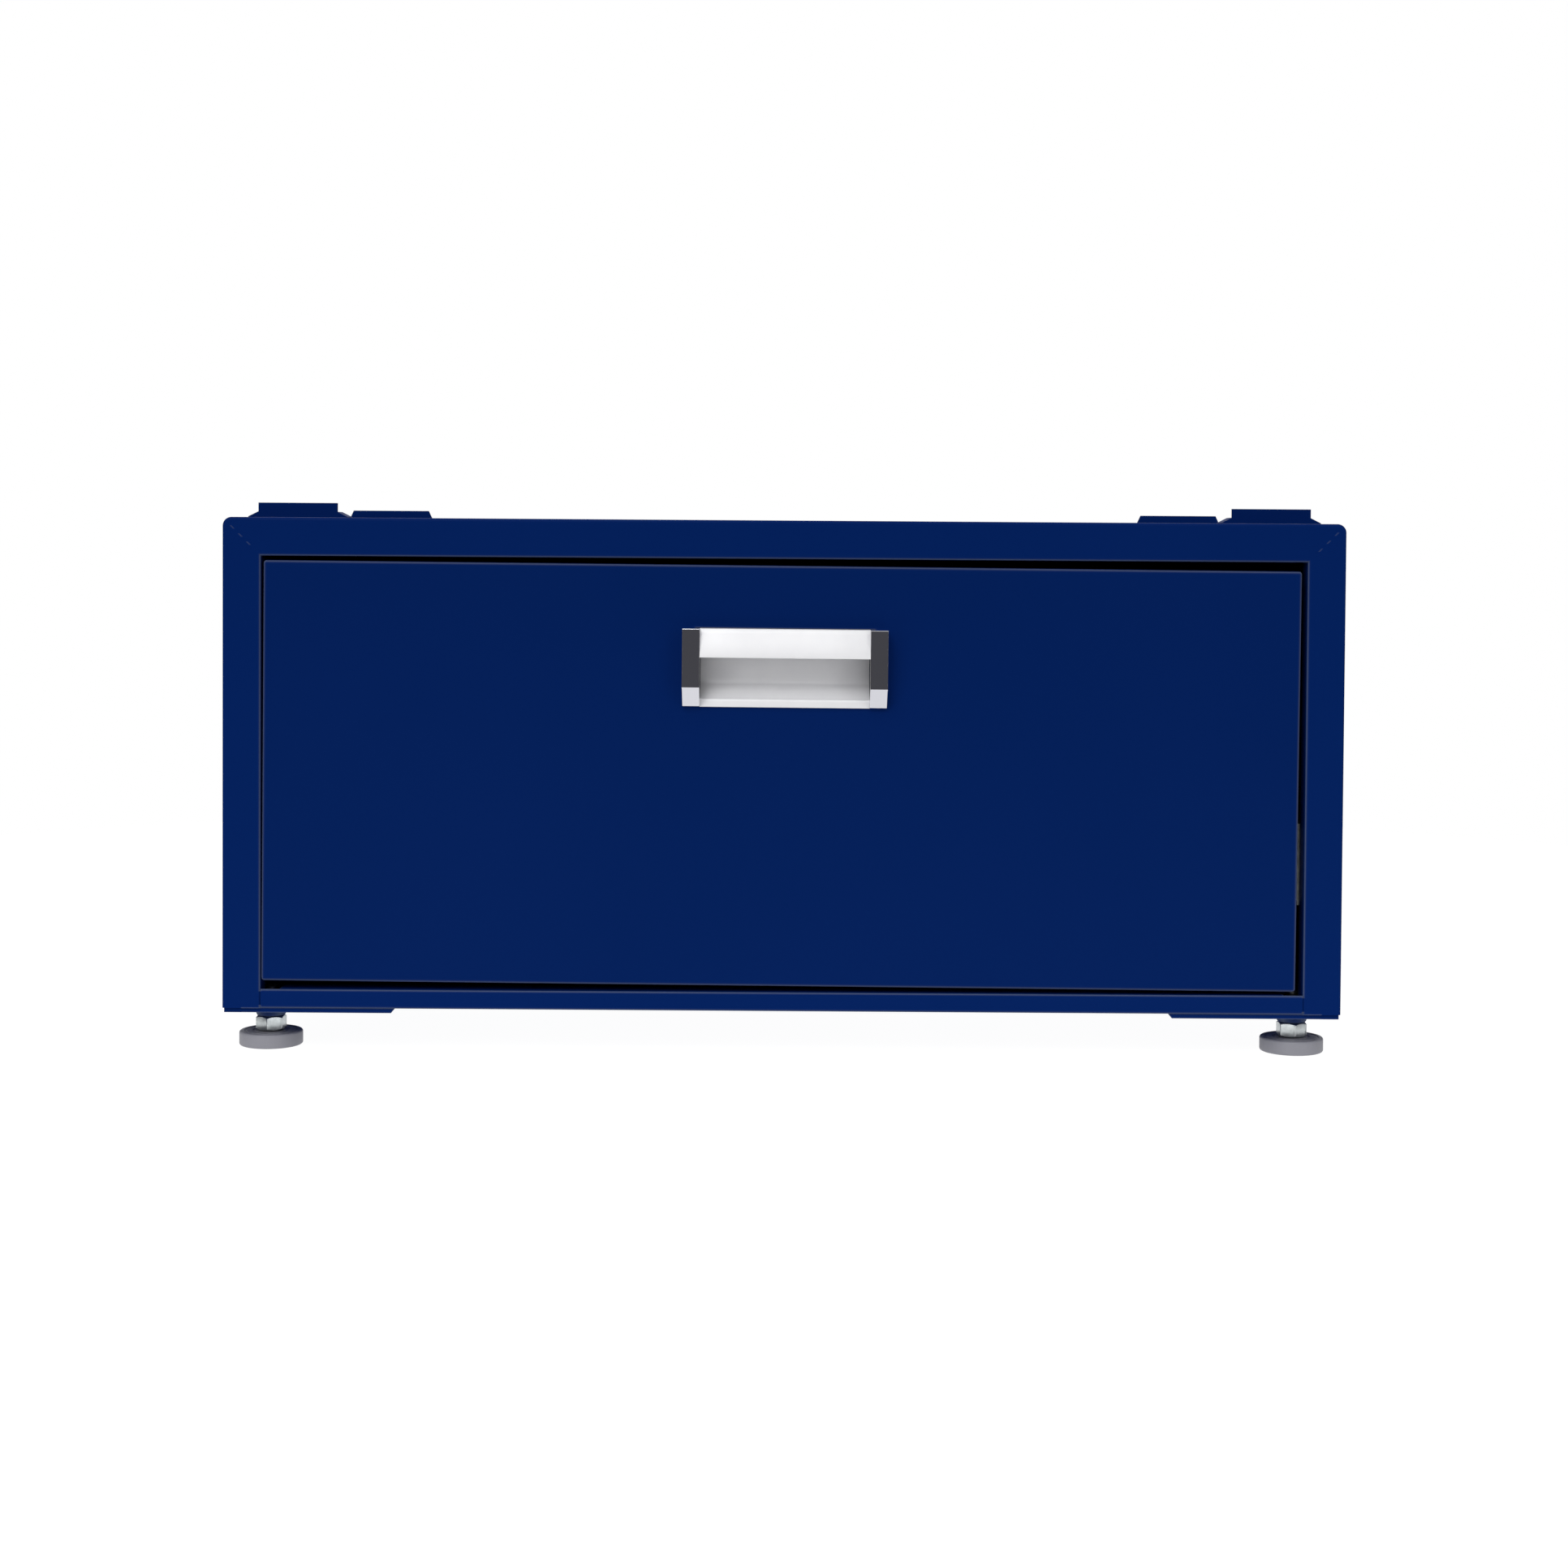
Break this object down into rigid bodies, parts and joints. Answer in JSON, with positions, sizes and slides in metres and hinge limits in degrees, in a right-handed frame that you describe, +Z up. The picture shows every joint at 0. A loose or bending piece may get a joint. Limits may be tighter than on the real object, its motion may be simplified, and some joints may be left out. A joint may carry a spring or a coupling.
{
  "type": "post box",
  "caption": "Low steel box cabinet with a full-width pull-out box on ball slides, a shell handle, stacking lugs and levelling feet.",
  "frame": {"origin": "floor level, below the middle of the whole object", "axes": "+X to the right seen from the front, -Y out of the front, +Z up"},
  "size_m": [0.7, 0.5138, 0.3445],
  "materials": {
    "blue_coat": "satin powder coat",
    "anodised_profile": "satin anodised",
    "chrome_cap": "polished",
    "zinc_plate": "zinc plated",
    "grey_plastic": "moulded",
    "rubber": "matt",
    "bearing_steel": "polished",
    "rivet_metal": "plain"
  },
  "bodies": {
    "cabinet": {"back_panel": "blue_coat", "back_rivets": "rivet_metal", "bracket_screws": "zinc_plate", "carcass_shell": "blue_coat", "closing_buffers": "rubber", "floor_panel": "blue_coat", "foot_plate_front_left": "blue_coat", "foot_plate_front_right": "blue_coat", "foot_plate_rear_left": "blue_coat", "foot_plate_rear_right": "blue_coat", "foot_weld_nuts": "blue_coat", "slide_bracket_left": "zinc_plate", "slide_bracket_right": "zinc_plate", "slide_outer_left": "zinc_plate", "slide_outer_right": "zinc_plate", "stacking_lug_front_left": "blue_coat", "stacking_lug_front_right": "blue_coat", "stacking_lug_rear_left": "blue_coat", "stacking_lug_rear_right": "blue_coat"},
    "box": {"box_back": "blue_coat", "box_body": "blue_coat", "box_front": "blue_coat", "box_rivets": "rivet_metal", "box_slide_screws": "zinc_plate", "front_panel": "blue_coat", "handle_cap_left": "chrome_cap", "handle_cap_right": "chrome_cap", "handle_profile": "anodised_profile", "handle_screws": "zinc_plate", "panel_screws": "zinc_plate", "slide_inner_left": "zinc_plate", "slide_inner_right": "zinc_plate"},
    "middle_left": {"slide_middle_left": "zinc_plate"},
    "cage_outer_left": {"ball_cage_outer_left": "zinc_plate", "balls_outer_left": "bearing_steel"},
    "cage_inner_left": {"ball_cage_inner_left": "zinc_plate", "balls_inner_left": "bearing_steel"},
    "middle_right": {"slide_middle_right": "zinc_plate"},
    "cage_outer_right": {"ball_cage_outer_right": "zinc_plate", "balls_outer_right": "bearing_steel"},
    "cage_inner_right": {"ball_cage_inner_right": "zinc_plate", "balls_inner_right": "bearing_steel"},
    "pad_front_left": {"foot_pad_front_left": "grey_plastic"},
    "stud_front_left": {"foot_stud_front_left": "zinc_plate"},
    "pad_front_right": {"foot_pad_front_right": "grey_plastic"},
    "stud_front_right": {"foot_stud_front_right": "zinc_plate"},
    "pad_rear_left": {"foot_pad_rear_left": "grey_plastic"},
    "stud_rear_left": {"foot_stud_rear_left": "zinc_plate"},
    "pad_rear_right": {"foot_pad_rear_right": "grey_plastic"},
    "stud_rear_right": {"foot_stud_rear_right": "zinc_plate"}
  },
  "joints": [
    {"name": "box_slide", "type": "slide", "parent": "cabinet", "child": "box", "axis": [0, -1, 0], "range_m": [0, 0.4]},
    {"name": "middle_slide_left", "type": "slide", "parent": "cabinet", "child": "middle_left", "axis": [0, -1, 0], "range_m": [0, 0.2]},
    {"name": "cage_outer_slide_left", "type": "slide", "parent": "cabinet", "child": "cage_outer_left", "axis": [0, -1, 0], "range_m": [0, 0.1]},
    {"name": "cage_inner_slide_left", "type": "slide", "parent": "cabinet", "child": "cage_inner_left", "axis": [0, -1, 0], "range_m": [0, 0.3]},
    {"name": "middle_slide_right", "type": "slide", "parent": "cabinet", "child": "middle_right", "axis": [0, -1, 0], "range_m": [0, 0.2]},
    {"name": "cage_outer_slide_right", "type": "slide", "parent": "cabinet", "child": "cage_outer_right", "axis": [0, -1, 0], "range_m": [0, 0.1]},
    {"name": "cage_inner_slide_right", "type": "slide", "parent": "cabinet", "child": "cage_inner_right", "axis": [0, -1, 0], "range_m": [0, 0.3]},
    {"name": "foot_height_front_left", "type": "slide", "parent": "cabinet", "child": "pad_front_left", "axis": [0, 0, -1], "range_m": [0, 0.0135]},
    {"name": "stud_turn_front_left", "type": "hinge", "parent": "pad_front_left", "child": "stud_front_left", "pos_m": [-0.325, -0.21435, 0], "axis": [0, 0, 1], "range_deg": [0, 3241]},
    {"name": "foot_height_front_right", "type": "slide", "parent": "cabinet", "child": "pad_front_right", "axis": [0, 0, -1], "range_m": [0, 0.0135]},
    {"name": "stud_turn_front_right", "type": "hinge", "parent": "pad_front_right", "child": "stud_front_right", "pos_m": [0.325, -0.21435, 0], "axis": [0, 0, 1], "range_deg": [0, 3241]},
    {"name": "foot_height_rear_left", "type": "slide", "parent": "cabinet", "child": "pad_rear_left", "axis": [0, 0, -1], "range_m": [0, 0.0135]},
    {"name": "stud_turn_rear_left", "type": "hinge", "parent": "pad_rear_left", "child": "stud_rear_left", "pos_m": [-0.325, 0.22565, 0], "axis": [0, 0, 1], "range_deg": [0, 3241]},
    {"name": "foot_height_rear_right", "type": "slide", "parent": "cabinet", "child": "pad_rear_right", "axis": [0, 0, -1], "range_m": [0, 0.0135]},
    {"name": "stud_turn_rear_right", "type": "hinge", "parent": "pad_rear_right", "child": "stud_rear_right", "pos_m": [0.325, 0.22565, 0], "axis": [0, 0, 1], "range_deg": [0, 3241]}
  ],
  "couplings": [
    {"joint": "middle_slide_left", "follows": "box_slide", "ratio": 0.5},
    {"joint": "cage_outer_slide_left", "follows": "box_slide", "ratio": 0.25},
    {"joint": "cage_inner_slide_left", "follows": "box_slide", "ratio": 0.75},
    {"joint": "middle_slide_right", "follows": "box_slide", "ratio": 0.5},
    {"joint": "cage_outer_slide_right", "follows": "box_slide", "ratio": 0.25},
    {"joint": "cage_inner_slide_right", "follows": "box_slide", "ratio": 0.75},
    {"joint": "stud_turn_front_left", "follows": "foot_height_front_left", "rad_per_m": 4188.8},
    {"joint": "stud_turn_front_right", "follows": "foot_height_front_right", "rad_per_m": 4188.8},
    {"joint": "stud_turn_rear_left", "follows": "foot_height_rear_left", "rad_per_m": 4188.8},
    {"joint": "stud_turn_rear_right", "follows": "foot_height_rear_right", "rad_per_m": 4188.8}
  ]
}
